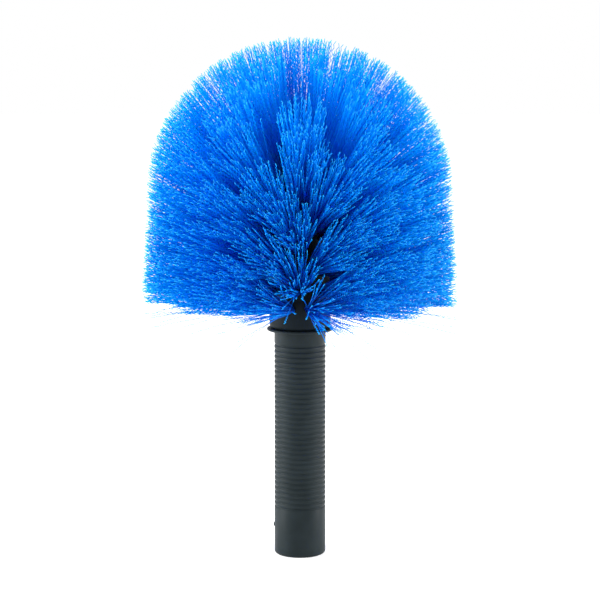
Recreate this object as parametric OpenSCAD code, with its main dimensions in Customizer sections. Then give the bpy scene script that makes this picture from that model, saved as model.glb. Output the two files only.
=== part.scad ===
// Domed cobweb brush head: a grooved pole socket, a bullet-shaped block and rings of staple-set tufts.
// Millimetres. Origin at the centre of the socket's open mouth, +Z towards the bristles.

/* [Pole socket] */
// Diameter of the pole that the socket takes
pole_d = 25; // [22:0.5:30]
// Gap between pole and bore, all round
pole_gap = 0.4; // [0.2:0.1:1]
// Wall of the socket tube
socket_wall = 2.85; // [2:0.05:4]
// Depth of the bore that the pole fills
pole_depth = 105; // [60:1:110]
// Height of the tube from its mouth to the top of its lip
socket_h = 141.3; // [135:0.1:180]
// Rounding of the mouth's outer edge
mouth_round = 1.8; // [0.5:0.1:2.5]
// How far the lip stands out from the tube
lip_reach = 4.5; // [2:0.1:8]
// Thickness of the lip
lip_t = 1.7; // [1:0.1:4]
// Fillet between the lip and the tube
lip_fillet = 0.8; // [0.3:0.1:1.5]

/* [Grip grooves] */
// Height of the lowest groove's centre above the mouth
groove_start = 30.3; // [20:0.1:40]
// Distance from one groove to the next
groove_pitch = 3.15; // [2.4:0.05:5]
// Depth of a groove
groove_depth = 0.6; // [0.2:0.1:1.2]
// Width of a groove at the surface
groove_w = 1.7; // [0.8:0.1:2.2]
// Plain neck left between the top groove and the lip
neck_h = 6; // [3:0.5:15]

/* [Moulded pip] */
// Diameter of the pip near the mouth
pip_d = 3; // [1.5:0.1:5]
// How far the pip stands out
pip_reach = 0.7; // [0.3:0.1:1.5]
// Height of the pip above the mouth
pip_z = 17.9; // [6:0.1:25]

/* [Web and screw] */
// Thickness of the web inside the tube
web_t = 5; // [3:0.5:8]
// Diameter of the recess under the web
recess_d = 17; // [14:0.5:20]
// Diameter of the screw's thread
screw_d = 4.5; // [3.5:0.1:6]
// Length of the screw under its head
screw_len = 30; // [22:1:34]
// Diameter of the screw's head
screw_head_d = 8.5; // [7:0.1:10]
// Height of the screw's head
screw_head_h = 3; // [2:0.1:4]
// Gap round the screw in the web
screw_gap = 0.25; // [0.1:0.05:0.6]
// Width of the cross recess in the head
drive_w = 1.1; // [0.6:0.1:1.6]
// Diameter of the washer
washer_d = 12; // [10:0.5:13.5]
// Thickness of the washer
washer_t = 1; // [0.5:0.1:2]

/* [Brush block] */
// Diameter of the block's foot
block_d = 37.4; // [34:0.1:44]
// Diameter of the block where its round cap starts
cap_d = 33; // [31:0.1:40]
// Rounding of the foot's lower edge
foot_round = 2.2; // [0.5:0.1:3]
// Height of the plain foot below the lowest row of tufts
foot_h = 7.9; // [3:0.1:10]
// Thickness of the block's skin that each row of tufts is set in
skin_t = 1.5; // [1:0.1:2.5]
// Length of the spigot that stands in the tube
spigot_len = 20; // [12:0.5:28]
// Gap between spigot and tube, all round
spigot_gap = 0.15; // [0.05:0.05:0.4]

/* [Tufts] */
// Rows of tufts on the side of the block
side_rows = 6; // [6:1:6]
// Rows of tufts on the round cap, the last one a single tuft
cap_rows = 3; // [3:1:3]
// Distance between rows on the side
row_pitch = 11; // [10:0.1:12]
// Distance between tufts along a row
tuft_pitch = 8.7; // [8.3:0.1:12]
// Diameter of a tuft's blind hole
hole_d = 4; // [3.2:0.1:4.4]
// Depth of a tuft's blind hole below the block's surface
hole_depth = 6; // [4.5:0.1:7]
// Gap between a tuft's root and its hole
root_gap = 0.02; // [0.01:0.01:0.1]
// Length of the tuft that stands together before it fans out
tuft_neck = 1; // [0.5:0.1:2]
// Thickness of the anchor wire
anchor_t = 0.45; // [0.3:0.05:0.8]
// Height of the anchor along the hole
anchor_h = 2.2; // [1.5:0.1:3]
// How far each end of the anchor bites into the hole's wall
anchor_bite = 0.25; // [0.1:0.05:0.3]
// Height of the anchor above the bottom of its hole
anchor_rise = 1; // [0.5:0.1:2]

/* [Bristle dome] */
// Radius of the dome that the tips are trimmed to
dome_r = 92.8; // [70:0.1:110]
// Height of the dome's centre above the start of the block's cap
dome_lift = 16; // [10:0.1:30]
// Radius of the bristles at the lower rim
rim_r = 97; // [75:0.1:115]
// Height of the lower rim above the top of the lip
rim_h = 17.5; // [8:0.1:25]
// Angle of the lowest tufts above level
low_lean = 8; // [0:0.5:15]
// Least height that the tips drop short of the dome at random
trim_scatter = 2.5; // [0:0.1:4]
// Half the width of a side tuft's fan on the dome
fan_w = 16; // [10:0.5:18]
// Half the height of a side tuft's fan on the dome
fan_h = 13.5; // [8:0.5:14]
// Distance between neighbouring tips on the dome
tip_pitch = 14.65; // [14.5:0.05:20]
// Radius of a strand at its root
strand_root_r = 0.3; // [0.2:0.05:0.35]
// Radius of a strand at its tip
strand_tip_r = 1.4; // [0.4:0.05:1.6]
// How far a strand bows sideways in the middle
strand_bow = 1; // [0:0.1:1.5]

/* [Hidden] */
$fn = 96;

plastic_black = [0.15, 0.18, 0.2];
block_black = [0.12, 0.14, 0.16];
filament_blue = [0.03, 0.42, 0.86];
steel = [0.72, 0.73, 0.75];
wire_grey = [0.62, 0.62, 0.63];

// Cuts run this far past the solid that they open
past = 1;

// Socket tube
bore_r = pole_d / 2 + pole_gap;
tube_r = bore_r + socket_wall;
lip_r = tube_r + lip_reach;
lip_round_share = 0.45;
lip_round = lip_t * lip_round_share;
web_top = socket_h - spigot_len;
web_bottom = web_top - web_t;
groove_top = socket_h - lip_t - neck_h;
groove_count = floor((groove_top - groove_start) / groove_pitch) + 1;
groove_floor_share = 0.4;
groove_floor_w = groove_w * groove_floor_share;

// Screw
screw_r = screw_d / 2;
screw_hole_r = screw_r + screw_gap;
head_top = web_bottom - washer_t;
drive_depth_share = 0.55;
drive_span_share = 0.6;
drive_depth = screw_head_h * drive_depth_share;
drive_span = screw_head_d * drive_span_share;

// Block
foot_r = block_d / 2;
cap_r = cap_d / 2;
side_start = socket_h + foot_h;
side_h = row_pitch * side_rows;
cap_z = side_start + side_h - row_pitch / 2;
rows = side_rows + cap_rows;

// The block's outline seen from the side. Rows are numbered from 0, and the last side row stands where
// the round cap starts.
function row_edge(k) = k < side_rows ? side_start + k * row_pitch : cap_z;
function side_r(z) = foot_r + (cap_r - foot_r) * (z - side_start) / (cap_z - side_start);
function cap_angle(k) = 90 * (k - side_rows + 1) / cap_rows;
function row_angle_edge(k) = k < side_rows ? 0 : min(90, cap_angle(k) - 45 / cap_rows);

// Lower and upper edge of each row's slice of skin, then the outline between them at a given depth
function slice_points(k, depth) = concat(
  k < side_rows ? [[side_r(row_edge(k)) - depth, row_edge(k)]] : [],
  k < side_rows - 1 ? [[side_r(row_edge(k + 1)) - depth, row_edge(k + 1)]] : [],
  k >= side_rows - 1 ? cap_points(k, depth) : []
);
function all_but_last(list) = [for (i = [0 : len(list) - 2]) list[i]];
// Longest step along the round cap, in degrees
cap_step_angle = 5;
function cap_points(k, depth) =
  let (low = row_angle_edge(k), high = row_angle_edge(k + 1), steps = ceil((high - low) / cap_step_angle))
  [for (i = [0 : steps]) cap_point(low + (high - low) * i / steps, depth)];
function cap_point(a, depth) = [(cap_r - depth) * cos(a), cap_z + (cap_r - depth) * sin(a)];

// Middle of each row on the block's surface, and how far along the outline it lies, from 0 to 1
function row_root(k) =
  k < side_rows ? [side_r(row_z(k)), row_z(k)] : cap_point(cap_angle(k), 0);
function row_z(k) = side_start + (k + 0.5) * row_pitch;
cap_arc = PI * cap_r / 2;
outline_len = row_pitch * (side_rows - 1) + cap_arc;
function row_share(k) =
  (k < side_rows ? row_pitch * k : row_pitch * (side_rows - 1) + cap_arc * cap_angle(k) / 90) / outline_len;

// Tufts lean a little more with each row on the side, and stand up quickly over the cap
side_gain = 30;
cap_power = 6;
function row_lean(k) =
  low_lean + side_gain * row_share(k) + (90 - low_lean - side_gain) * pow(row_share(k), cap_power);
function row_count(k) = max(1, round(2 * PI * (k < side_rows ? cap_r : row_root(k)[0]) / tuft_pitch));

// Rows are set half a tuft out of step, the lowest with a gap in front
function tuft_turn(k, i) = 360 * (i + ((k + 1) % 2) / 2) / row_count(k);

// The dome's outline: up the wall from the rim, then over the round top
dome_z = cap_z + dome_lift;
rim_z = socket_h + rim_h;
wall_h = dome_z - rim_z;
dome_arc = PI * dome_r / 2;
function dome_point(u) =
  u < wall_h
    ? [dome_r + (rim_r - dome_r) * (1 - max(u, 0) / wall_h), rim_z + u]
    : let (a = min(90, (u - wall_h) / dome_r * 180 / PI)) [dome_r * cos(a), dome_z + dome_r * sin(a)];

// Where a row's middle ray meets the dome, as a length along the dome's outline. Rays steeper than the
// limit are taken at it, which is past the wall already.
steep_angle = 80;
function row_reach(k) = let (p = row_root(k), a = row_lean(k)) meets_wall(p, a) ? wall_u(p, a) : top_u(p, a);
function wall_hit_z(p, a) = p[1] + tan(min(a, steep_angle)) * (dome_r - p[0]);
function meets_wall(p, a) = wall_hit_z(p, a) < dome_z;
function wall_u(p, a) = wall_hit_z(p, a) - rim_z;
function top_u(p, a) =
  let (
    b = p[0] * cos(a) + (p[1] - dome_z) * sin(a),
    c = p[0] * p[0] + pow(p[1] - dome_z, 2) - dome_r * dome_r,
    t = -b + sqrt(b * b - c)
  )
  wall_h + dome_r * atan2(p[1] + t * sin(a) - dome_z, p[0] + t * cos(a)) * PI / 180;

// Each row's share of the dome lies between these two lengths along its outline
function reach_low(k) = k == 0 ? 0 : (row_reach(k - 1) + row_reach(k)) / 2;
function reach_high(k) = k == rows - 1 ? wall_h + dome_arc : (row_reach(k) + row_reach(k + 1)) / 2;

// Strands of one tuft: as many as its share of the dome asks for, spread like the seeds of a sunflower
golden_turn = 137.508;
fan_fill = 0.9;
function tuft_area(k) =
  k == rows - 1
    ? PI * pow(reach_high(k) - reach_low(k), 2)
    : (reach_high(k) - reach_low(k)) * 2 * PI * dome_point(row_reach(k))[0] / row_count(k);
function strand_count(k) = ceil(tuft_area(k) / pow(tip_pitch, 2));

// Tufts on the side fan out to an oval, cut flatter where it would hang below the rim. Tufts on the cap
// fan out to fill their cell.
function fan_middle(k) = k < side_rows ? row_reach(k) : (reach_high(k) + reach_low(k)) / 2;
function fan_up(k) = k < side_rows ? fan_h : (reach_high(k) - reach_low(k)) / 2;
function fan_down(k) = min(fan_up(k), fan_middle(k));
function fan_turn(k) = k < side_rows ? fan_w / dome_r * 180 / PI : 180 / row_count(k);

// Angles that the pattern of seeds turns by from tuft to tuft and from row to row
tuft_twist = 40;
row_twist = 25;
function seed_place(i, n, start) =
  let (r = sqrt((i + 0.5) / n), a = start + i * golden_turn) [r * cos(a), r * sin(a)];

// A tuft's own frame: along the row, up the block and out along the tuft
function along(turn) = [-sin(turn), cos(turn), 0];
function outward(turn, lean) = [cos(turn) * cos(lean), sin(turn) * cos(lean), sin(lean)];
function upward(turn, lean) = [-cos(turn) * sin(lean), -sin(turn) * sin(lean), cos(lean)];
function lifted(p, turn) = [p[0] * cos(turn), p[0] * sin(turn), p[1]];

hole_r = hole_d / 2;
root_r = hole_r - root_gap;

// Strands start this far inside the tuft's root, and this far under its end
strand_inset = 0.1;
root_depth = 0.5;
bundle_r = root_r - strand_root_r - strand_inset;

function strand_start(k, turn, seed) =
  lifted(row_root(k), turn) + (tuft_neck - root_depth) * outward(turn, row_lean(k))
  + bundle_r * (seed[0] * along(turn) + seed[1] * upward(turn, row_lean(k)));

// A tip lies in its tuft's own fan, a little short of the trimmed outline
function strand_tip(k, turn, seed, short) =
  k == rows - 1
    ? let (
        r = fan_fill * (reach_high(k) - reach_low(k)) * norm(seed),
        a = turn + atan2(seed[0], -seed[1]),
        p = dome_point(wall_h + dome_arc - r)
      )
      lifted([p[0], p[1] - short], a)
    : let (u = fan_middle(k) + fan_fill * seed[1] * (seed[1] < 0 ? fan_down(k) : fan_up(k)))
      lifted(dome_point(u), turn + fan_fill * fan_turn(k) * seed[0]) - short * outward(turn, row_lean(k));

// Three rings of three corners: root, middle and tip
strand_sides = 3;
strand_rings = 3;
strand_points = strand_sides * strand_rings;
ring_guide = [0, 0.03, 1];
function ring(p, d, r, spin) =
  let (side = unit(cross(d, ring_guide)), up = cross(d, side))
  [for (j = [0 : strand_sides - 1])
    let (a = spin + 360 * j / strand_sides) p + r * (cos(a) * side + sin(a) * up)];
function unit(v) = v / norm(v);
bow_guide = [0.02, 0, 1];
function strand(start, tip, bow, spin) =
  let (
    d = unit(tip - start),
    side = unit(cross(d, bow_guide)),
    up = cross(d, side),
    middle = (start + tip) / 2 + bow[0] * side + bow[1] * up
  )
  concat(
    ring(start, d, strand_root_r, spin),
    ring(middle, d, (strand_root_r + strand_tip_r) / 2, spin),
    ring(tip, d, strand_tip_r, spin)
  );
function strand_faces(first) = concat(
  [[for (j = [0 : strand_sides - 1]) first + j]],
  [for (q = [0 : strand_rings - 2], j = [0 : strand_sides - 1], half = [0, 1])
    let (
      a = first + q * strand_sides + j,
      b = first + q * strand_sides + (j + 1) % strand_sides
    )
    half == 0 ? [a, a + strand_sides, b] : [b, a + strand_sides, b + strand_sides]],
  [[for (j = [strand_sides - 1 : -1 : 0]) first + (strand_rings - 1) * strand_sides + j]]
);

// Random numbers of one row: shortfall of the tip, two bows and a spin for each strand
draw_kinds = 4;
first_seed = 41;
function row_draws(k) = rands(0, 1, draw_kinds * strand_count(k) * row_count(k), first_seed + k);
function row_strands(k) =
  let (n = strand_count(k), draws = row_draws(k))
  [for (i = [0 : row_count(k) - 1], j = [0 : n - 1])
    let (
      turn = tuft_turn(k, i),
      seed = seed_place(j, n, tuft_twist * i + row_twist * k),
      at = draw_kinds * (i * n + j),
      bow = strand_bow * [2 * draws[at + 1] - 1, 2 * draws[at + 2] - 1]
    )
    strand(
      strand_start(k, turn, seed),
      strand_tip(k, turn, seed, trim_scatter * draws[at]),
      bow,
      360 / strand_sides * draws[at + 3]
    )];

// All the strands of one row as one set of closed shells
module row_fan(k) {
  strands = row_strands(k);
  polyhedron(
    points = [for (s = strands, p = s) p],
    faces = [for (s = [0 : len(strands) - 1], f = strand_faces(s * strand_points)) f]
  );
}

// Puts its children at a tuft's mouth, with +Z out along the tuft
module at_tuft(k, i) {
  p = row_root(k);
  rotate([0, 0, tuft_turn(k, i)])
    translate([p[0], 0, p[1]])
      rotate([0, 90 - row_lean(k), 0])
        children();
}

module at_tufts(k) {
  for (i = [0 : row_count(k) - 1]) at_tuft(k, i) children();
}

// The flat wire across the bottom of a tuft's hole
module anchor() {
  translate([0, 0, -hole_depth + anchor_rise + anchor_h / 2])
    cube([anchor_t, hole_d + 2 * anchor_bite, anchor_h], center = true);
}

// The bundled root of a tuft, from the bottom of its hole to where it fans out
module tuft_root() {
  translate([0, 0, -hole_depth]) cylinder(h = hole_depth + tuft_neck, r = root_r, $fn = 32);
}

module tuft_hole() {
  translate([0, 0, -hole_depth]) cylinder(h = hole_depth + past, r = hole_r, $fn = 32);
}

// The slice of the block's skin that one row is set in
module skin_slice(k) {
  outer = slice_points(k, 0);
  inner = slice_points(k, skin_t);
  rotate_extrude()
    polygon(concat(outer, [for (i = [len(inner) - 1 : -1 : 0]) inner[i]]));
}

module bristle_row(k) {
  color(filament_blue)
    difference() {
      union() {
        skin_slice(k);
        at_tufts(k) tuft_root();
        row_fan(k);
      }
      at_tufts(k) anchor();
    }
}

module tuft_anchors(k) {
  color(wire_grey) at_tufts(k) anchor();
}

module socket_tube() {
  color(plastic_black)
    difference() {
      union() {
        tube_shell();
        pip();
      }
      translate([0, 0, -past]) cylinder(h = pole_depth + past, r = bore_r);
      translate([0, 0, pole_depth - past]) cylinder(h = web_bottom - pole_depth + past, d = recess_d);
      translate([0, 0, web_bottom - past]) cylinder(h = web_t + 2 * past, r = screw_hole_r);
      translate([0, 0, web_top]) cylinder(h = spigot_len + past, r = bore_r);
    }
}

// The tube's outline turned round its axis: rounded mouth, grooves, neck, fillet and lip
module tube_shell() {
  mouth = [for (a = [-90 : 15 : 0])
    [tube_r - mouth_round + mouth_round * cos(a), mouth_round + mouth_round * sin(a)]];
  grooves = [for (i = [0 : groove_count - 1], p = groove_outline(groove_start + i * groove_pitch)) p];
  lip_z = socket_h - lip_t;
  fillet = [for (a = [180 : -15 : 90])
    [tube_r + lip_fillet + lip_fillet * cos(a), lip_z - lip_fillet + lip_fillet * sin(a)]];
  lip_low = [for (a = [-90 : 15 : 0])
    [lip_r - lip_round + lip_round * cos(a), lip_z + lip_round + lip_round * sin(a)]];
  lip_high = [for (a = [0 : 15 : 90])
    [lip_r - lip_round + lip_round * cos(a), socket_h - lip_round + lip_round * sin(a)]];
  rotate_extrude()
    polygon(concat([[0, 0]], mouth, grooves, fillet, lip_low, lip_high, [[0, socket_h]]));
}

function groove_outline(z) = [
  [tube_r, z - groove_w / 2],
  [tube_r - groove_depth, z - groove_floor_w / 2],
  [tube_r - groove_depth, z + groove_floor_w / 2],
  [tube_r, z + groove_w / 2]
];

// A low round pip on the left of the tube, smaller at its end
pip_taper = 0.8;
module pip() {
  translate([-tube_r, 0, pip_z])
    rotate([0, -90, 0])
      translate([0, 0, -past])
        cylinder(h = pip_reach + past, d1 = pip_d, d2 = pip_d * pip_taper);
}

module brush_block() {
  core = [for (k = [0 : rows - 1], p = all_but_last(slice_points(k, skin_t))) p];
  foot = [for (a = [-90 : 15 : 0])
    [foot_r - foot_round + foot_round * cos(a), socket_h + foot_round + foot_round * sin(a)]];
  spigot_r = bore_r - spigot_gap;
  color(block_black)
    difference() {
      rotate_extrude()
        polygon(concat(
          [[0, web_top], [spigot_r, web_top], [spigot_r, socket_h]],
          foot,
          [[foot_r, side_start]],
          core,
          [cap_point(90, skin_t)]
        ));
      for (k = [0 : rows - 1]) at_tufts(k) {
        tuft_hole();
        anchor();
      }
      translate([0, 0, head_top - past]) cylinder(h = screw_len + past, r = screw_r);
    }
}

module screw_washer() {
  color(steel)
    translate([0, 0, head_top])
      difference() {
        cylinder(h = washer_t, d = washer_d);
        translate([0, 0, -past]) cylinder(h = washer_t + 2 * past, r = screw_hole_r);
      }
}

module fixing_screw() {
  color(steel)
    difference() {
      union() {
        translate([0, 0, head_top]) cylinder(h = screw_len, r = screw_r);
        translate([0, 0, head_top - screw_head_h]) cylinder(h = screw_head_h, d = screw_head_d);
      }
      for (a = [0, 90])
        translate([0, 0, head_top - screw_head_h])
          rotate([0, 0, a])
            cube([drive_span, drive_w, 2 * drive_depth], center = true);
    }
}

socket_tube();
brush_block();
fixing_screw();
screw_washer();
bristle_row(0);  // bristle_row_01
bristle_row(1);  // bristle_row_02
bristle_row(2);  // bristle_row_03
bristle_row(3);  // bristle_row_04
bristle_row(4);  // bristle_row_05
bristle_row(5);  // bristle_row_06
bristle_row(6);  // bristle_row_07
bristle_row(7);  // bristle_row_08
bristle_row(8);  // bristle_row_09
tuft_anchors(0);  // tuft_anchors_row_01
tuft_anchors(1);  // tuft_anchors_row_02
tuft_anchors(2);  // tuft_anchors_row_03
tuft_anchors(3);  // tuft_anchors_row_04
tuft_anchors(4);  // tuft_anchors_row_05
tuft_anchors(5);  // tuft_anchors_row_06
tuft_anchors(6);  // tuft_anchors_row_07
tuft_anchors(7);  // tuft_anchors_row_08
tuft_anchors(8);  // tuft_anchors_row_09
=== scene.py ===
"""Dresses the cobweb brush head: crimped filaments, the drilled block and the grooved socket."""

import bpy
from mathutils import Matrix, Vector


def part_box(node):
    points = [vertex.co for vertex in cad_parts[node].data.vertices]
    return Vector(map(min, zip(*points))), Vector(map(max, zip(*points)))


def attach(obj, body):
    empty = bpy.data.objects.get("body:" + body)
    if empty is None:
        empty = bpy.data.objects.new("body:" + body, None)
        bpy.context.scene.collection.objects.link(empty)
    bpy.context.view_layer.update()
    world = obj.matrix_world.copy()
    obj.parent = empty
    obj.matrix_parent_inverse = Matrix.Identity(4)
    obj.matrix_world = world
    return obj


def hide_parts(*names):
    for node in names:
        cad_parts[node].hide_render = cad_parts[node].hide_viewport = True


bl_info = {
    "name": "Cobweb Brush Head",
    "version": (1, 0, 0),
    "blender": (4, 5, 0),
    "location": "View3D > Sidebar > Brush",
    "description": "Builds a domed cobweb brush head round its solid model",
    "category": "Add Mesh",
}

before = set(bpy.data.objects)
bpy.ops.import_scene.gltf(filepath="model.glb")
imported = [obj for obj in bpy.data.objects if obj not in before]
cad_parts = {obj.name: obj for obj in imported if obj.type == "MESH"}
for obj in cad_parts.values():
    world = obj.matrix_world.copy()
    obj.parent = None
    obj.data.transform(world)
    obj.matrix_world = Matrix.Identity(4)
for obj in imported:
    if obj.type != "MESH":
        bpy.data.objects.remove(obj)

import math

import bmesh
import bpy
import numpy as np
from bpy.props import FloatProperty, FloatVectorProperty, IntProperty, PointerProperty
from mathutils import Matrix, Vector

MM = 0.001
WELD = 0.001 * MM
BODY = "root"
ROWS = sorted(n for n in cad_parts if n.startswith("bristle_row_"))
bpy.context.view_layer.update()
_, SOCKET_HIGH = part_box("socket_tube")
BLOCK_LOW, BLOCK_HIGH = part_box("brush_block")
GOLDEN_TURN = math.pi * (3 - math.sqrt(5))

# A tuft at the half turn counts as at +180 degrees, not -180, so that the order of tufts is sure
TURN_SLACK = 1e-6

# Filaments come in this many shades, each with a band of its own on the map that their colours
# are baked to. A band's faces keep clear of its edges, and so do the ends of the filaments.
SHADES = 32
BAKE_MAP = "OFBake"
BAND_EDGE = 0.1
MAP_EDGE = 0.005
END_WIDTH = 0.004

# Tufts that stand off their hole's axis: row and turn in degrees, then how far they lean sideways
# and upwards in radians, and how wide they fan
LEANING_TUFTS = {
    (0, -75): (0.07, -0.12, 1.85),
    (0, -105): (-0.12, 0.03, 1.45),
    (0, -165): (0.0, 0.07, 1.0),
    (0, 165): (0.0, 0.06, 1.0),
    (1, -90): (-0.06, 0.05, 0.98),
}

# A tuft parts into a few large wisps and many small ones of a few filaments each. Strays fan out
# wider than the rest, by a share between these two and up to the widest fan
LARGE_WISPS = 7
SMALL_WISP = 3
WISP_PULL = (0.5, 1.2)
STRAY_WIDER = (0.2, 1.0)
WIDEST_FAN = 2.1

# Lamps: place in metres, size in metres and power in watts
LAMPS = {
    "key_left": ((-1.6, -0.15, 0.4), (1.0, 1.3), 50),
    "fill_right": ((1.6, -0.1, 0.4), (0.9, 1.2), 34),
    "top": ((0.0, 0.2, 1.6), (1.2, 1.2), 20),
}

# Steps of a groove's wave, from one edge to the other
GROOVE_STEPS = 8

# A larger fan holds more filaments, but not in proportion to its area
CROWDING = 0.6

# A filament starts below the mouth of its hole, bends away from the hole's axis and bows a little
ROOT_DEPTH = 1.2 * MM
BEND_AT = 0.3
BOW = 0.9 * MM

# A share of the filaments is cut short, by so many millimetres
SHORT_SHARE = 0.1
SHORT_BY = (1, 5)

# Shares of a filament's length where its smooth part has points, and the least waves in the rest
SMOOTH_PART = (0.0, 0.25, 0.5, 0.68)
LEAST_WAVES = 6

# The crimp varies from filament to filament and from wave to wave, grows over a few points and
# strays sideways by a share of its height
CRIMP_BY_FILAMENT = (0.7, 1.25)
CRIMP_BY_WAVE = (0.75, 1.2)
CRIMP_GROWS_OVER = 4
CRIMP_SIDEWAYS = 0.3


class BrushSocketSizes(bpy.types.PropertyGroup):
    """Sizes of the grooved socket tube"""

    outer_r: FloatProperty(
        name="Tube radius",
        description="Outside radius of the socket tube",
        default=15.75 * MM, subtype="DISTANCE", unit="LENGTH",
    )
    bore_r: FloatProperty(
        name="Bore radius",
        description="Radius of the bore that takes the pole",
        default=12.9 * MM, subtype="DISTANCE", unit="LENGTH",
    )
    lip_t: FloatProperty(
        name="Lip thickness",
        description="Thickness of the lip round the top of the tube",
        default=1.7 * MM, subtype="DISTANCE", unit="LENGTH",
    )
    groove_start: FloatProperty(
        name="First groove",
        description="Height of the lowest groove above the mouth",
        default=30.3 * MM, subtype="DISTANCE", unit="LENGTH",
    )
    groove_pitch: FloatProperty(
        name="Groove pitch",
        description="Distance from one groove to the next",
        default=3.15 * MM, subtype="DISTANCE", unit="LENGTH",
    )
    groove_depth: FloatProperty(
        name="Groove depth",
        description="Depth of each grip groove",
        default=0.6 * MM, subtype="DISTANCE", unit="LENGTH",
    )
    groove_w: FloatProperty(
        name="Groove width",
        description="Width of each grip groove at the surface",
        default=1.9 * MM, subtype="DISTANCE", unit="LENGTH",
    )
    groove_count: IntProperty(
        name="Grooves",
        description="How many grip grooves go round the tube",
        default=33, min=0,
    )
    steps: IntProperty(
        name="Steps",
        description="Steps of a full turn",
        default=128, min=24,
    )


class BrushBristleSizes(bpy.types.PropertyGroup):
    """Sizes of the dome of filaments"""

    dome_r: FloatProperty(
        name="Dome radius",
        description="Radius of the dome that the tips are trimmed to",
        default=92.8 * MM, subtype="DISTANCE", unit="LENGTH",
    )
    dome_top: FloatProperty(
        name="Dome top",
        description="Height of the dome's top above the mouth",
        default=317.5 * MM, subtype="DISTANCE", unit="LENGTH",
    )
    rim_r: FloatProperty(
        name="Rim radius",
        description="Radius of the bristles at the lower rim",
        default=97 * MM, subtype="DISTANCE", unit="LENGTH",
    )
    rim_z: FloatProperty(
        name="Rim height",
        description="Height of the lower rim above the mouth",
        default=158.8 * MM, subtype="DISTANCE", unit="LENGTH",
    )
    anchor_depth: FloatProperty(
        name="Anchor depth",
        description="Depth of an anchor's middle below the mouth of its tuft hole",
        default=3.9 * MM, subtype="DISTANCE", unit="LENGTH",
    )
    bundle_r: FloatProperty(
        name="Tuft radius",
        description="Radius of a tuft where it leaves the block",
        default=1.85 * MM, subtype="DISTANCE", unit="LENGTH",
    )
    filaments: IntProperty(
        name="Filaments",
        description="Filaments in one tuft",
        default=112, min=3,
    )
    filament_r: FloatProperty(
        name="Filament radius",
        description="Radius of one filament",
        default=0.22 * MM, subtype="DISTANCE", unit="LENGTH",
    )
    crimp: FloatProperty(
        name="Crimp",
        description="How far the crimp swings a filament to each side",
        default=0.38 * MM, subtype="DISTANCE", unit="LENGTH",
    )
    crimp_step: FloatProperty(
        name="Crimp step",
        description="Half a wave of the crimp",
        default=1.45 * MM, subtype="DISTANCE", unit="LENGTH",
    )
    fan_r: FloatProperty(
        name="Fan radius",
        description="Least radius of a tuft's fan where it meets the dome",
        default=15.5 * MM, subtype="DISTANCE", unit="LENGTH",
    )
    tilt: FloatProperty(
        name="Tilt",
        description="How far a tuft leans off its hole's axis at random",
        default=math.radians(1.8), subtype="ANGLE", unit="ROTATION",
    )
    clump: FloatProperty(
        name="Clump",
        description="How strongly a tuft parts into a few large wisps",
        default=0.24, min=0.0, max=1.0, subtype="FACTOR",
    )
    cling: FloatProperty(
        name="Cling",
        description="How strongly a few neighbouring filaments draw together",
        default=0.2, min=0.0, max=1.0, subtype="FACTOR",
    )
    trim: FloatProperty(
        name="Trim",
        description="How far the tips fall short of the dome at random",
        default=1.9 * MM, subtype="DISTANCE", unit="LENGTH",
    )
    stray: FloatProperty(
        name="Strays",
        description="Share of the filaments that stand out of their tuft",
        default=0.04, min=0.0, max=1.0, subtype="FACTOR",
    )
    low_stray: FloatProperty(
        name="Strays at the rim",
        description="Share of the filaments of the lowest row that stand out of their tuft",
        default=0.12, min=0.0, max=1.0, subtype="FACTOR",
    )
    seed: IntProperty(
        name="Seed",
        description="Seed of the random trim, crimp and lean",
        default=7, min=0,
    )


class BrushFinish(bpy.types.PropertyGroup):
    """Colours of the brush head, in linear light"""

    # Painted shade: a filament's colour darkens towards its root, for the shade deep in the tuft
    bristle_root_shade: FloatVectorProperty(
        name="Bristle root",
        description="Colour of a filament deep in the tuft",
        default=(0.0, 0.032, 0.46), subtype="COLOR", size=3, min=0, max=1,
    )
    bristle_mid: FloatVectorProperty(
        name="Bristle",
        description="Colour of a filament along its length",
        default=(0.0, 0.18, 0.99), subtype="COLOR", size=3, min=0, max=1,
    )
    # Painted light: the outer end is paler, for the light that shines through the thin filaments
    bristle_end_light: FloatVectorProperty(
        name="Bristle end",
        description="Colour of a filament's outer end",
        default=(0.0, 0.28, 1.0), subtype="COLOR", size=3, min=0, max=1,
    )
    # Painted highlight: the cut face is paler still, for the light that it catches
    bristle_cut_highlight: FloatVectorProperty(
        name="Bristle cut",
        description="Colour of a filament's cut face",
        default=(0.02, 0.37, 1.0), subtype="COLOR", size=3, min=0, max=1,
    )
    socket: FloatVectorProperty(
        name="Socket",
        description="Colour of the socket tube's plastic",
        default=(0.0118, 0.018, 0.02), subtype="COLOR", size=3, min=0, max=1,
    )
    # Painted shade: the block is darker than the socket, for the shadow that the bristles cast on its foot
    block: FloatVectorProperty(
        name="Block",
        description="Colour of the block's plastic",
        default=(0.006, 0.0105, 0.0135), subtype="COLOR", size=3, min=0, max=1,
    )
    steel: FloatVectorProperty(
        name="Steel",
        description="Colour of the screw, the washer and the anchors",
        default=(0.56, 0.57, 0.58), subtype="COLOR", size=3, min=0, max=1,
    )


class BrushStage(bpy.types.PropertyGroup):
    """Camera and lamps"""

    aim_z: FloatProperty(
        name="Aim height",
        description="Height on the brush's axis that the camera looks at",
        default=158 * MM, subtype="DISTANCE", unit="LENGTH",
    )
    elevation: FloatProperty(
        name="Elevation",
        description="Angle of the camera above level",
        default=math.radians(8), subtype="ANGLE", unit="ROTATION",
    )
    distance: FloatProperty(
        name="Distance",
        description="Distance of the camera from the brush's axis",
        default=1.19, subtype="DISTANCE", unit="LENGTH",
    )
    lens: FloatProperty(
        name="Lens",
        description="Focal length in millimetres on a 36 mm sensor",
        default=117.0, min=1.0,
    )


def settings():
    """The four groups of settings"""
    scene = bpy.context.scene
    return scene.brush_socket, scene.brush_bristles, scene.brush_finish, scene.brush_stage


# Mesh helpers


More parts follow.
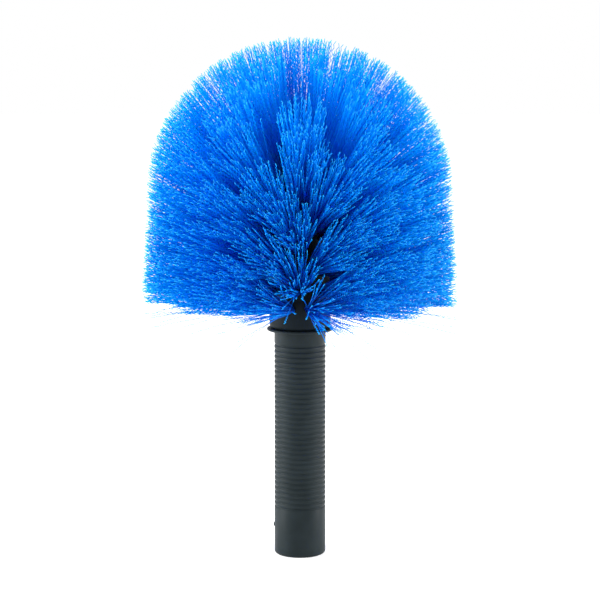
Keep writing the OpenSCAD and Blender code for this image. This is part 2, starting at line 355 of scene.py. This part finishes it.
def add_piece(name, mesh, material, slot, *replaced):
    """Links a finished mesh as a piece of the brush, riding on the one body"""
    piece = bpy.data.objects.new(name, mesh)
    bpy.context.scene.collection.objects.link(piece)
    mesh.materials.clear()
    mesh.materials.append(material)
    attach(piece, BODY)
    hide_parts(*replaced)
    return piece


def spin_profile(bm, profile, steps, closed=True):
    """Turns a profile of (radius, height) points round Z into a skin of faces"""
    verts = [bm.verts.new((r, 0, z)) for r, z in profile]
    pairs = list(zip(verts, verts[1:]))
    if closed:
        pairs.append((verts[-1], verts[0]))
    edges = [bm.edges.new(pair) for pair in pairs]
    bmesh.ops.spin(
        bm, geom=verts + edges, cent=(0, 0, 0), axis=(0, 0, 1), angle=2 * math.pi,
        steps=steps, use_merge=True, use_duplicate=False,
    )
    bmesh.ops.remove_doubles(bm, verts=bm.verts, dist=WELD)


def finish_mesh(bm, name):
    """Outward normals, smooth faces, and the mesh itself"""
    bmesh.ops.recalc_face_normals(bm, faces=bm.faces)
    for face in bm.faces:
        face.smooth = True
    mesh = bpy.data.meshes.new(name)
    bm.to_mesh(mesh)
    bm.free()
    return mesh


def arc(centre_r, centre_z, radius, start, end, steps):
    """Points of a round corner, from one angle to another in degrees"""
    turns = [math.radians(start + (end - start) * i / steps) for i in range(steps + 1)]
    return [(centre_r + radius * math.cos(a), centre_z + radius * math.sin(a)) for a in turns]


# Materials


def new_material(name):
    """A material with an empty Principled shader, its node tree and that shader"""
    material = bpy.data.materials.new(name)
    material.use_nodes = True
    tree = material.node_tree
    return material, tree, tree.nodes["Principled BSDF"]


def put(tree, kind, **values):
    """Adds a node and sets its properties or, where it has none of that name, its inputs"""
    node = tree.nodes.new(kind)
    for key, value in values.items():
        if hasattr(node, key):
            setattr(node, key, value)
        else:
            node.inputs[key.replace("_", " ").title()].default_value = value
    return node


def ramp(tree, source, stops):
    """A colour ramp over a value, as a list of (position, colour)"""
    node = tree.nodes.new("ShaderNodeValToRGB")
    elements = node.color_ramp.elements
    while len(elements) < len(stops):
        elements.new(0.5)
    for element, (position, colour) in zip(elements, stops):
        element.position = position
        element.color = (*colour, 1.0)
    tree.links.new(source, node.inputs["Fac"])
    return node.outputs["Color"]


def remap(tree, source, low, high, from_low=0.0, from_high=1.0):
    """Stretches a value onto a new range"""
    node = tree.nodes.new("ShaderNodeMapRange")
    for key, value in (("From Min", from_low), ("From Max", from_high), ("To Min", low), ("To Max", high)):
        node.inputs[key].default_value = value
    tree.links.new(source, node.inputs["Value"])
    return node.outputs["Result"]


def noise(tree, scale, detail=3.0):
    """Noise over the brush's own coordinates"""
    coordinates = tree.nodes.new("ShaderNodeTexCoord")
    node = put(tree, "ShaderNodeTexNoise", scale=scale, detail=detail)
    tree.links.new(coordinates.outputs["Object"], node.inputs["Vector"])
    return node.outputs["Fac"]


def bumped(tree, shader, height, strength, distance):
    """Joins a height to the shader's normal"""
    node = put(tree, "ShaderNodeBump", strength=strength, distance=distance)
    tree.links.new(height, node.inputs["Height"])
    tree.links.new(node.outputs["Normal"], shader.inputs["Normal"])


def moulded_plastic(name, colour, rough_low, rough_high, gloss):
    """Satin moulded plastic: fine grain, cloudy gloss and slightly uneven colour"""
    material, tree, shader = new_material(name)
    cloud_scale, grain_scale = 60.0, 2600.0
    grain_strength, grain_depth = 0.25, 0.06 * MM
    clouds = noise(tree, cloud_scale)
    grain = noise(tree, grain_scale, 2.0)
    pale = tuple(min(1.0, 1.35 * c + 0.004) for c in colour)
    tree.links.new(ramp(tree, clouds, [(0.3, colour), (0.75, pale)]), shader.inputs["Base Color"])
    tree.links.new(remap(tree, clouds, rough_low, rough_high, 0.3, 0.7), shader.inputs["Roughness"])
    shader.inputs["Specular IOR Level"].default_value = gloss
    bumped(tree, shader, grain, grain_strength, grain_depth)
    return material


def bristle_plastic(finish):
    """Satin pigmented filament, each one a little different, with painted light along it: painted shade at
    the root, deep in the tuft, and painted light towards the pale cut tip
    """
    material, tree, shader = new_material("bristle_plastic")
    along = put(tree, "ShaderNodeAttribute", attribute_name="along").outputs["Fac"]
    shade = put(tree, "ShaderNodeAttribute", attribute_name="shade").outputs["Fac"]
    root, mid = tuple(finish.bristle_root_shade), tuple(finish.bristle_mid)
    end, cut = tuple(finish.bristle_end_light), tuple(finish.bristle_cut_highlight)
    darkest, smoothest, roughest = 0.86, 0.45, 0.6
    # Painted shade darkens the root end, and painted light and a painted highlight pale the outer end and
    # the cut
    colour = ramp(tree, along, [(0.05, root), (0.5, mid), (0.65, mid), (0.97, end), (1.0, cut)])
    darker = remap(tree, shade, darkest, 1.0)
    mix = put(tree, "ShaderNodeMix", data_type="RGBA", blend_type="MULTIPLY")
    mix.inputs["Factor"].default_value = 1.0
    tree.links.new(colour, mix.inputs["A"])
    tree.links.new(darker, mix.inputs["B"])
    tree.links.new(mix.outputs["Result"], shader.inputs["Base Color"])
    tree.links.new(remap(tree, shade, smoothest, roughest), shader.inputs["Roughness"])
    shader.inputs["Specular IOR Level"].default_value = 0.035
    shader.inputs["Subsurface Weight"].default_value = 0.35
    shader.inputs["Subsurface Radius"].default_value = (0.2, 0.7, 1.0)
    shader.inputs["Subsurface Scale"].default_value = 1.5 * MM
    return material


def turned_steel(name, colour, roughness):
    """Bright steel with fine drawing lines"""
    material, tree, shader = new_material(name)
    line_scale = 900.0
    lines = noise(tree, line_scale, 2.0)
    shader.inputs["Metallic"].default_value = 1.0
    dull = tuple(0.75 * c for c in colour)
    tree.links.new(ramp(tree, lines, [(0.35, dull), (0.65, tuple(colour))]), shader.inputs["Base Color"])
    tree.links.new(remap(tree, lines, roughness * 0.8, roughness * 1.3), shader.inputs["Roughness"])
    return material


# Tufts and filaments


def tuft_frames(row_node, anchor_depth):
    """Each tuft's mouth, outward axis, and direction along its row, read from the row's wire anchors"""
    bm = bmesh.new()
    bm.from_mesh(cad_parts[row_node.replace("bristle", "tuft_anchors")].data)
    bmesh.ops.remove_doubles(bm, verts=bm.verts, dist=WELD)
    todo = set(bm.verts)
    tufts = []
    while todo:
        island, edge = [], [todo.pop()]
        while edge:
            vert = edge.pop()
            island.append(vert)
            near = [e.other_vert(vert) for e in vert.link_edges]
            edge += [v for v in near if v in todo]
            todo.difference_update(near)
        points = np.array([v.co for v in island])
        centre = points.mean(0)
        _, axes = np.linalg.eigh(np.cov((points - centre).T))
        out = axes[:, 1]
        flat = np.array([centre[0], centre[1], 0.0])
        flat /= max(np.linalg.norm(flat), 1e-9)
        if out @ (flat + (0, 0, 1)) < 0:
            out = -out
        mouth = centre + anchor_depth * out
        turn = math.atan2(mouth[1], mouth[0]) if np.hypot(*mouth[:2]) > MM else 0.0
        if turn < TURN_SLACK - math.pi:
            turn += 2 * math.pi
        side = np.array([-math.sin(turn), math.cos(turn), 0.0])
        tufts.append((mouth, out, side, turn))
    bm.free()
    return sorted(tufts, key=lambda tuft: tuft[3])


class Dome:
    """The outline that the tips are trimmed to: up the wall from the rim, then over the round top"""

    def __init__(self, sizes):
        self.r = sizes.dome_r
        self.z = sizes.dome_top - sizes.dome_r
        self.rim_r = sizes.rim_r
        self.rim_z = sizes.rim_z
        self.wall = self.z - self.rim_z
        self.length = self.wall + math.pi * self.r / 2

    def inside(self, points):
        """Whether points lie within the outline"""
        r = np.hypot(points[..., 0], points[..., 1])
        above = points[..., 2] - self.z
        flare = np.clip(-above / self.wall, 0, 1)
        width = np.where(above > 0, np.sqrt(np.clip(self.r**2 - above**2, 0, None)), 0)
        return r < np.where(above > 0, width, self.r + (self.rim_r - self.r) * flare)

    def distance(self, starts, ahead):
        """How far each start is from the outline along its direction"""
        near, far = np.zeros(len(starts)), np.full(len(starts), 2 * self.r)
        halvings = 24
        for _ in range(halvings):
            middle = (near + far) / 2
            within = self.inside(starts + middle[:, None] * ahead)
            near, far = np.where(within, middle, near), np.where(within, far, middle)
        return near

    def outline_at(self, point):
        """Length along the outline at a point on it"""
        above = point[2] - self.z
        if above < 0:
            return self.wall + above
        return self.wall + self.r * math.atan2(above, math.hypot(point[0], point[1]))


def row_shares(rows, dome):
    """Lower and upper end of each row's share of the dome's outline"""
    reach = []
    for tufts in rows:
        mouth, out = tufts[0][:2]
        reach.append(dome.outline_at(mouth + dome.distance(mouth[None], out[None])[0] * out))
    middles = [(a + b) / 2 for a, b in zip(reach, reach[1:])]
    return list(zip([0.0] + middles, middles + [2 * dome.length - middles[-1]])), reach


def sunflower(count, rng):
    """Points spread evenly over the unit disc, each nudged a little"""
    i = np.arange(count)
    r = np.sqrt((i + 0.5) / count)
    turn = i * GOLDEN_TURN + rng.uniform(0, 2 * math.pi)
    points = np.stack([r * np.cos(turn), r * np.sin(turn)], 1)
    nudge = 0.4 / math.sqrt(count)
    return points + rng.normal(0, nudge, points.shape)


def clumped(seeds, clumps, pull, rng):
    """Draws each point towards the nearest of a few of its fellows, so that a fan parts into wisps"""
    middles = seeds[rng.choice(len(seeds), clumps, replace=False)]
    nearest = np.linalg.norm(seeds[:, None] - middles[None], axis=2).argmin(1)
    return seeds + pull * rng.uniform(*WISP_PULL, (len(seeds), 1)) * (middles[nearest] - seeds)


def fan_size(share, reach, tuft_gap, sizes):
    """Half the width of a tuft's fan at the dome, its height upwards and its height down to the rim"""
    tall = max(sizes.fan_r, (share[1] - share[0]) / 2)
    wide = max(sizes.fan_r, min(tall, tuft_gap / 2))
    return wide, tall, min(tall, reach)


def fan_directions(tuft, seeds, size, reach, lean, stray, sizes, rng):
    """Direction of each filament: a cone about the tuft's own slightly tilted axis, with a few strays"""
    mouth, out, side, _ = tuft
    up = np.cross(out, side)
    *tilt, fuller = lean or (*rng.normal(0, sizes.tilt, 2), 1)
    wide, tall, low = size
    wider = 1 + (rng.random(len(seeds)) < stray) * rng.uniform(*STRAY_WIDER, len(seeds))
    wisps = clumped(seeds, LARGE_WISPS, sizes.clump, rng)
    wisps = clumped(wisps, len(seeds) // SMALL_WISP, sizes.cling, rng)
    across, upward = wisps.T * np.minimum(wider * fuller, WIDEST_FAN)
    upward = np.where((upward < 0) & (wider == 1), low * upward, tall * upward) / reach
    upward = upward + tilt[1] * low / tall
    across = wide * across / reach + tilt[0]
    ahead = out + across[:, None] * side + upward[:, None] * up
    return ahead / np.linalg.norm(ahead, axis=1, keepdims=True)


def filament_paths(tuft, count, size, lean, stray, dome, sizes, rng):
    """Points of each filament from inside its hole to its trimmed tip: bundled, fanned out and crimped"""
    mouth, out, side, _ = tuft
    up = np.cross(out, side)
    seeds = sunflower(count, rng)
    roots = mouth - ROOT_DEPTH * out + sizes.bundle_r * (seeds[:, :1] * side + seeds[:, 1:] * up)
    reach = dome.distance(mouth[None], out[None])[0]
    ahead = fan_directions(tuft, seeds, size, reach, lean, stray, sizes, rng)
    length = dome.distance(roots, ahead)
    short = np.abs(rng.normal(0, sizes.trim, count))
    short = short + (rng.random(count) < SHORT_SHARE) * rng.uniform(*SHORT_BY, count) * MM
    tips = roots + (length - short)[:, None] * ahead

    smooth = np.array(SMOOTH_PART)
    waves = max(LEAST_WAVES, round(float((1 - smooth[-1]) * reach / sizes.crimp_step)))
    along = np.concatenate([smooth, np.linspace(smooth[-1], 1.0, waves + 1)[1:]])
    t = along[None, :, None]
    bend = roots + BEND_AT * length[:, None] * (0.5 * out + 0.5 * ahead)
    path = (1 - t) ** 2 * roots[:, None] + 2 * t * (1 - t) * bend[:, None] + t**2 * tips[:, None]

    spare = np.cross(ahead, rng.normal(0, 1, (count, 3)))
    swing = spare / np.linalg.norm(spare, axis=1, keepdims=True)
    other = np.cross(ahead, swing)
    steps = len(along)
    flip = np.where(np.arange(steps) % 2 == 0, 1.0, -1.0)[None, :, None]
    grow = np.clip((np.arange(steps) - 1) / CRIMP_GROWS_OVER, 0, 1)[None, :, None]
    own = rng.uniform(*CRIMP_BY_FILAMENT, (count, 1, 1))
    height = sizes.crimp * own * rng.uniform(*CRIMP_BY_WAVE, (count, steps, 1)) * grow
    astray = CRIMP_SIDEWAYS * height * rng.normal(0, 1, (count, steps, 1))
    path = path + flip * height * swing[:, None] + astray * other[:, None]
    bow = rng.normal(0, BOW, (count, 1, 3)) * 4 * t * (1 - t)
    return path + bow, along


def strand_mesh(name, paths, along, radius, shades):
    """Sweeps a three-cornered section along every path, as one mesh with its own attributes"""
    section = bpy.data.curves.new("section", "CURVE")
    section.dimensions = "2D"
    corners = section.splines.new("POLY")
    corners.points.add(2)
    for i, point in enumerate(corners.points):
        a = 2 * math.pi * i / 3
        point.co = (radius * math.cos(a), radius * math.sin(a), 0, 1)
    corners.use_cyclic_u = True
    section_object = bpy.data.objects.new("section", section)
    curve = bpy.data.curves.new(name, "CURVE")
    curve.dimensions = "3D"
    curve.bevel_mode = "OBJECT"
    curve.bevel_object = section_object
    for path in paths:
        spline = curve.splines.new("POLY")
        spline.points.add(len(path) - 1)
        spline.points.foreach_set("co", np.column_stack([path, np.ones(len(path))]).ravel())
    curve_object = bpy.data.objects.new(name, curve)
    bpy.context.scene.collection.objects.link(section_object)
    bpy.context.scene.collection.objects.link(curve_object)
    view = bpy.context.evaluated_depsgraph_get()
    mesh = bpy.data.meshes.new_from_object(curve_object.evaluated_get(view))
    for leftover in (curve_object, section_object):
        data = leftover.data
        bpy.data.objects.remove(leftover)
        bpy.data.curves.remove(data)
    paint_strands(mesh, along, shades)
    bm = bmesh.new()
    bm.from_mesh(mesh)
    bmesh.ops.holes_fill(bm, edges=[edge for edge in bm.edges if edge.is_boundary], sides=3)
    bmesh.ops.recalc_face_normals(bm, faces=bm.faces)
    bm.to_mesh(mesh)
    bm.free()
    mesh.polygons.foreach_set("use_smooth", [True] * len(mesh.polygons))
    unroll_strands(mesh, along, shades)
    return mesh


def paint_strands(mesh, along, shades):
    """Stores how far along its filament each point lies, and each filament's own shade"""
    rings = np.concatenate([np.repeat(share, 3) for share in along])
    if len(rings) != len(mesh.vertices):
        raise RuntimeError(f"{mesh.name}: {len(mesh.vertices)} points where {len(rings)} were swept")
    values = {"along": rings, "shade": np.repeat(shades, [3 * len(share) for share in along])}
    for name, value in values.items():
        attribute = mesh.attributes.new(name, "FLOAT", "POINT")
        attribute.data.foreach_set("value", value.astype(np.float32))


def unroll_strands(mesh, along, shades):
    """Lays every filament on its shade's band of the map: its length across, its three sides upwards"""
    rings = np.concatenate(along)
    bands = np.repeat(np.floor(shades * SHADES), [len(share) for share in along])
    spots = np.empty(len(mesh.loops), np.int32)
    mesh.loops.foreach_get("vertex_index", spots)
    totals = np.empty(len(mesh.polygons), np.int32)
    mesh.polygons.foreach_get("loop_total", totals)
    face = np.repeat(np.arange(len(totals)), totals)
    ring, corner = np.divmod(spots, 3)
    ends = (totals == 3)[face]
    third_side = np.bincount(face, corner == 1) == 0
    corner = corner + 3 * ((corner == 0) & third_side[face])
    inwards = np.where(rings[ring] < 0.5, 1, -1)
    across = MAP_EDGE + (1 - 2 * MAP_EDGE) * rings[ring] + END_WIDTH * ends * inwards * corner
    upwards = (bands[ring] + BAND_EDGE + (1 - 2 * BAND_EDGE) * corner / 3) / SHADES
    layer = mesh.uv_layers.new(name=BAKE_MAP)
    layer.data.foreach_set("uv", np.stack([across, upwards], 1).astype(np.float32).ravel())


class BRUSH_OT_bristles(bpy.types.Operator):
    """Fill every row's tufts with crimped filaments"""

    bl_idname = "brush.bristles"
    bl_label = "Bristles"

    def execute(self, context):
        _, sizes, finish, _ = settings()
        dome = Dome(sizes)
        rows = [tuft_frames(name, sizes.anchor_depth) for name in ROWS]
        shares, reach = row_shares(rows, dome)
        material = bristle_plastic(finish)
        for number, (name, tufts) in enumerate(zip(ROWS, rows)):
            rng = np.random.default_rng([sizes.seed, number])
            tip_r = dome.r * math.cos(max(0, reach[number] - dome.wall) / dome.r)
            tuft_gap = 2 * math.pi * tip_r / len(tufts)
            size = fan_size(shares[number], reach[number], tuft_gap, sizes)
            count = round(sizes.filaments * (size[0] * size[1] / sizes.fan_r**2) ** CROWDING)
            leans = [LEANING_TUFTS.get((number, round(math.degrees(tuft[3])))) for tuft in tufts]
            stray = sizes.stray if number else sizes.low_stray
            fans = [
                filament_paths(tuft, count, size, lean, stray, dome, sizes, rng)
                for tuft, lean in zip(tufts, leans)
            ]
            paths = [path for fan, _ in fans for path in fan]
            along = [share for fan, share in fans for _ in fan]
            shades = (rng.integers(0, SHADES, len(paths)) + 0.5) / SHADES
            label = name.replace("bristle", "filaments")
            mesh = strand_mesh(label, paths, along, sizes.filament_r, shades)
            add_piece(mesh.name, mesh, material, "bristle", name)
        return {"FINISHED"}


class BRUSH_OT_block(bpy.types.Operator):
    """Turn the bullet-shaped block with a rim round each tuft hole"""

    bl_idname = "brush.block"
    bl_label = "Block"

    def execute(self, context):
        _, sizes, finish, _ = settings()
        foot_r = BLOCK_HIGH.x
        foot_z = SOCKET_HIGH.z
        foot_round, spigot_edge = 2.2 * MM, 0.5 * MM
        rows = [tuft_frames(name, sizes.anchor_depth) for name in ROWS]
        outline = [(np.hypot(*tufts[0][0][:2]), tufts[0][0][2]) for tufts in rows]
        cap = [k for k, tufts in enumerate(rows) if len(tufts) < len(rows[0])]
        cap_r, cap_z = outline[cap[0] - 1]
        spigot_r, spigot_z = 12.75 * MM, BLOCK_LOW.z
        profile = [(0, spigot_z), (spigot_r - spigot_edge, spigot_z)]
        profile += [(spigot_r, spigot_z + spigot_edge), (spigot_r, foot_z)]
        profile += arc(foot_r - foot_round, foot_z + foot_round, foot_round, -90, 0, 6)
        foot_top = outline[0][1] - (outline[1][1] - outline[0][1]) / 2
        profile += [(foot_r, foot_top)]
        profile += arc(0, cap_z, cap_r, 0, 90, 18)
        bm = bmesh.new()
        spin_profile(bm, profile, 96, closed=False)
        for tufts in rows:
            for mouth, out, side, _ in tufts:
                add_hole_rim(bm, mouth, out, side, sizes.bundle_r)
        mesh = finish_mesh(bm, "block_body")
        # The block's darker colour is painted shade from the bristles above its foot
        material = moulded_plastic("block_plastic", tuple(finish.block), 0.42, 0.55, 0.05)
        add_piece("block_body", mesh, material, "block_plastic", "brush_block")
        return {"FINISHED"}


def add_hole_rim(bm, mouth, out, side, radius):
    """A low ring of plastic pushed up round a tuft hole"""
    place = Matrix((side, np.cross(out, side), out)).transposed().to_4x4()
    place.translation = Vector(mouth)
    ring = bmesh.new()
    inner_r, outer_r, half = radius + 0.15 * MM, radius + 0.55 * MM, 0.5 * MM
    steps = 14
    spin_profile(ring, [(inner_r, -half), (outer_r, -half), (inner_r, half)], steps)
    bmesh.ops.transform(ring, matrix=place, verts=ring.verts)
    mesh = bpy.data.meshes.new("rim")
    ring.to_mesh(mesh)
    ring.free()
    bm.from_mesh(mesh)
    bpy.data.meshes.remove(mesh)


class BRUSH_OT_socket(bpy.types.Operator):
    """Turn the grooved socket tube with its lip, web and pip"""

    bl_idname = "brush.socket"
    bl_label = "Socket tube"

    def execute(self, context):
        sizes, _, finish, _ = settings()
        bm = bmesh.new()
        spin_profile(bm, socket_profile(sizes), sizes.steps)
        add_pip(bm, sizes)
        mesh = finish_mesh(bm, "socket_shell")
        material = moulded_plastic("socket_plastic", tuple(finish.socket), 0.38, 0.52, 0.09)
        add_piece("socket_shell", mesh, material, "socket_plastic", "socket_tube")
        return {"FINISHED"}


def socket_profile(sizes):
    """The tube's closed section: mouth, grooves, neck, lip, spigot seat, web, screw recess and pole bore"""
    tube_r, bore_r = sizes.outer_r, sizes.bore_r
    lip_r, top = SOCKET_HIGH.x, SOCKET_HIGH.z
    mouth_round, lip_fillet, lip_round = 1.8 * MM, 0.8 * MM, sizes.lip_t * 0.48
    lip_z = top - sizes.lip_t
    outside = arc(tube_r - mouth_round, mouth_round, mouth_round, -90, 0, 8)
    for i in range(sizes.groove_count):
        outside += groove_points(sizes, sizes.groove_start + i * sizes.groove_pitch)
    outside += arc(tube_r + lip_fillet, lip_z - lip_fillet, lip_fillet, 180, 90, 5)
    outside += arc(lip_r - lip_round, lip_z + lip_round, lip_round, -90, 0, 5)
    outside += arc(lip_r - lip_round, top - lip_round, lip_round, 0, 90, 5)
    screw_r, recess_r, web_t = 2.5 * MM, 8.5 * MM, 5 * MM
    web_top = BLOCK_LOW.z
    web_bottom = web_top - web_t
    shoulder = 105 * MM
    inside = [
        (bore_r, top), (bore_r, web_top), (screw_r, web_top), (screw_r, web_bottom),
        (recess_r, web_bottom), (recess_r, shoulder), (bore_r, shoulder), (bore_r, 0),
    ]
    return outside + inside


def groove_points(sizes, z):
    """One grip groove as a smooth round-bottomed wave"""
    half = sizes.groove_w / 2
    points = []
    for i in range(GROOVE_STEPS + 1):
        t = i / GROOVE_STEPS
        depth = sizes.groove_depth * 0.5 * (1 - math.cos(2 * math.pi * t))
        points.append((sizes.outer_r - depth, z - half + sizes.groove_w * t))
    return points


def add_pip(bm, sizes):
    """The small round pip near the mouth, on -X"""
    reach, sunk, pip_r, pip_z = 0.7 * MM, 0.3 * MM, 1.5 * MM, 17.9 * MM
    place = Matrix.Translation((-sizes.outer_r + sunk, 0, pip_z))
    place = place @ Matrix.Diagonal((reach + sunk, pip_r, pip_r, 1))
    bmesh.ops.create_uvsphere(bm, u_segments=20, v_segments=12, radius=1, matrix=place)


class BRUSH_OT_hardware(bpy.types.Operator):
    """Give the screw, washer and wire anchors their steel"""

    bl_idname = "brush.hardware"
    bl_label = "Screw, washer and anchors"

    def execute(self, context):
        _, _, finish, _ = settings()
        screw = turned_steel("screw_steel", finish.steel, 0.28)
        wire = turned_steel("anchor_wire", finish.steel, 0.4)
        for name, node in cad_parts.items():
            if name in ("fixing_screw", "screw_washer"):
                node.data.materials.clear()
                node.data.materials.append(screw)
            if name.startswith("tuft_anchors"):
                node.data.materials.clear()
                node.data.materials.append(wire)
        return {"FINISHED"}


def floor_material():
    """Pale floor that shows white to the camera and keeps a soft shadow"""
    material, tree, shader = new_material("floor_white")
    shader.inputs["Base Color"].default_value = (0.8, 0.8, 0.8, 1)
    shader.inputs["Roughness"].default_value = 0.9
    shader.inputs["Specular IOR Level"].default_value = 0.0
    shader.inputs["Emission Color"].default_value = (1, 1, 1, 1)
    glow_seen = 0.55
    tree.links.new(remap(tree, looked_at(tree), 0.0, glow_seen), shader.inputs["Emission Strength"])
    return material


def looked_at(tree):
    """1 where the camera sees a surface, straight, mirrored or through glass, and 0 where it only lights"""
    path = tree.nodes.new("ShaderNodeLightPath")
    seen = path.outputs["Is Camera Ray"]
    for kind in ("Is Glossy Ray", "Is Transmission Ray"):
        either = put(tree, "ShaderNodeMath", operation="MAXIMUM")
        tree.links.new(seen, either.inputs[0])
        tree.links.new(path.outputs[kind], either.inputs[1])
        seen = either.outputs[0]
    return seen


def add_lamp(name, place, aim, size, power):
    """A soft rectangular lamp that points at a place"""
    lamp = bpy.data.lights.new(name, "AREA")
    lamp.shape = "RECTANGLE"
    lamp.size, lamp.size_y = size
    lamp.energy = power
    lamp_object = bpy.data.objects.new(name, lamp)
    lamp_object.location = place
    lamp_object.rotation_euler = (Vector(aim) - Vector(place)).to_track_quat("-Z", "Y").to_euler()
    bpy.context.scene.collection.objects.link(lamp_object)


def white_world():
    """A plain bright room: white to the camera, softer as light"""
    world = bpy.data.worlds.new("room")
    bpy.context.scene.world = world
    world.use_nodes = True
    tree = world.node_tree
    background = tree.nodes["Background"]
    background.inputs["Color"].default_value = (1, 1, 1, 1)
    as_light, as_seen = 0.72, 1.0
    strength = remap(tree, looked_at(tree), as_light, as_seen)
    tree.links.new(strength, background.inputs["Strength"])


class BRUSH_OT_stage(bpy.types.Operator):
    """Set the floor, the lamps, the room and the camera"""

    bl_idname = "brush.stage"
    bl_label = "Stage"

    def execute(self, context):
        *_, stage = settings()
        scene = context.scene
        bm = bmesh.new()
        floor_half = 6
        bmesh.ops.create_grid(bm, x_segments=1, y_segments=1, size=floor_half)
        mesh = bpy.data.meshes.new("floor")
        bm.to_mesh(mesh)
        bm.free()
        floor = bpy.data.objects.new("floor", mesh)
        mesh.materials.append(floor_material())
        scene.collection.objects.link(floor)
        aim = (0, 0, stage.aim_z)
        for name, (place, size, power) in LAMPS.items():
            add_lamp(name, place, aim, size, power)
        white_world()
        camera = bpy.data.cameras.new("camera")
        camera.lens = stage.lens
        camera.sensor_width = 36
        camera_object = bpy.data.objects.new("camera", camera)
        back = stage.distance * math.cos(stage.elevation)
        lift = stage.distance * math.sin(stage.elevation)
        camera_object.location = (0, -back, stage.aim_z + lift)
        camera_object.rotation_euler = (math.pi / 2 - stage.elevation, 0, 0)
        scene.collection.objects.link(camera_object)
        scene.camera = camera_object
        scene.view_settings.view_transform = "Standard"
        return {"FINISHED"}


class BRUSH_PT_panel(bpy.types.Panel):
    """Sidebar panel that lists the brush's makers"""

    bl_label = "Cobweb brush head"
    bl_space_type = "VIEW_3D"
    bl_region_type = "UI"
    bl_category = "Brush"

    def draw(self, context):
        for operator in OPERATORS:
            self.layout.operator(operator.bl_idname)


GROUPS = {
    "brush_socket": BrushSocketSizes,
    "brush_bristles": BrushBristleSizes,
    "brush_finish": BrushFinish,
    "brush_stage": BrushStage,
}
OPERATORS = (BRUSH_OT_stage, BRUSH_OT_socket, BRUSH_OT_block, BRUSH_OT_hardware, BRUSH_OT_bristles)


def register():
    for kind in (*GROUPS.values(), *OPERATORS, BRUSH_PT_panel):
        bpy.utils.register_class(kind)
    for name, group in GROUPS.items():
        setattr(bpy.types.Scene, name, PointerProperty(type=group))


def unregister():
    for name in GROUPS:
        delattr(bpy.types.Scene, name)
    for kind in reversed((*GROUPS.values(), *OPERATORS, BRUSH_PT_panel)):
        bpy.utils.unregister_class(kind)


def main():
    register()
    bpy.ops.brush.stage()
    bpy.ops.brush.socket()
    bpy.ops.brush.block()
    bpy.ops.brush.hardware()
    bpy.ops.brush.bristles()


if __name__ == "__main__":
    main()
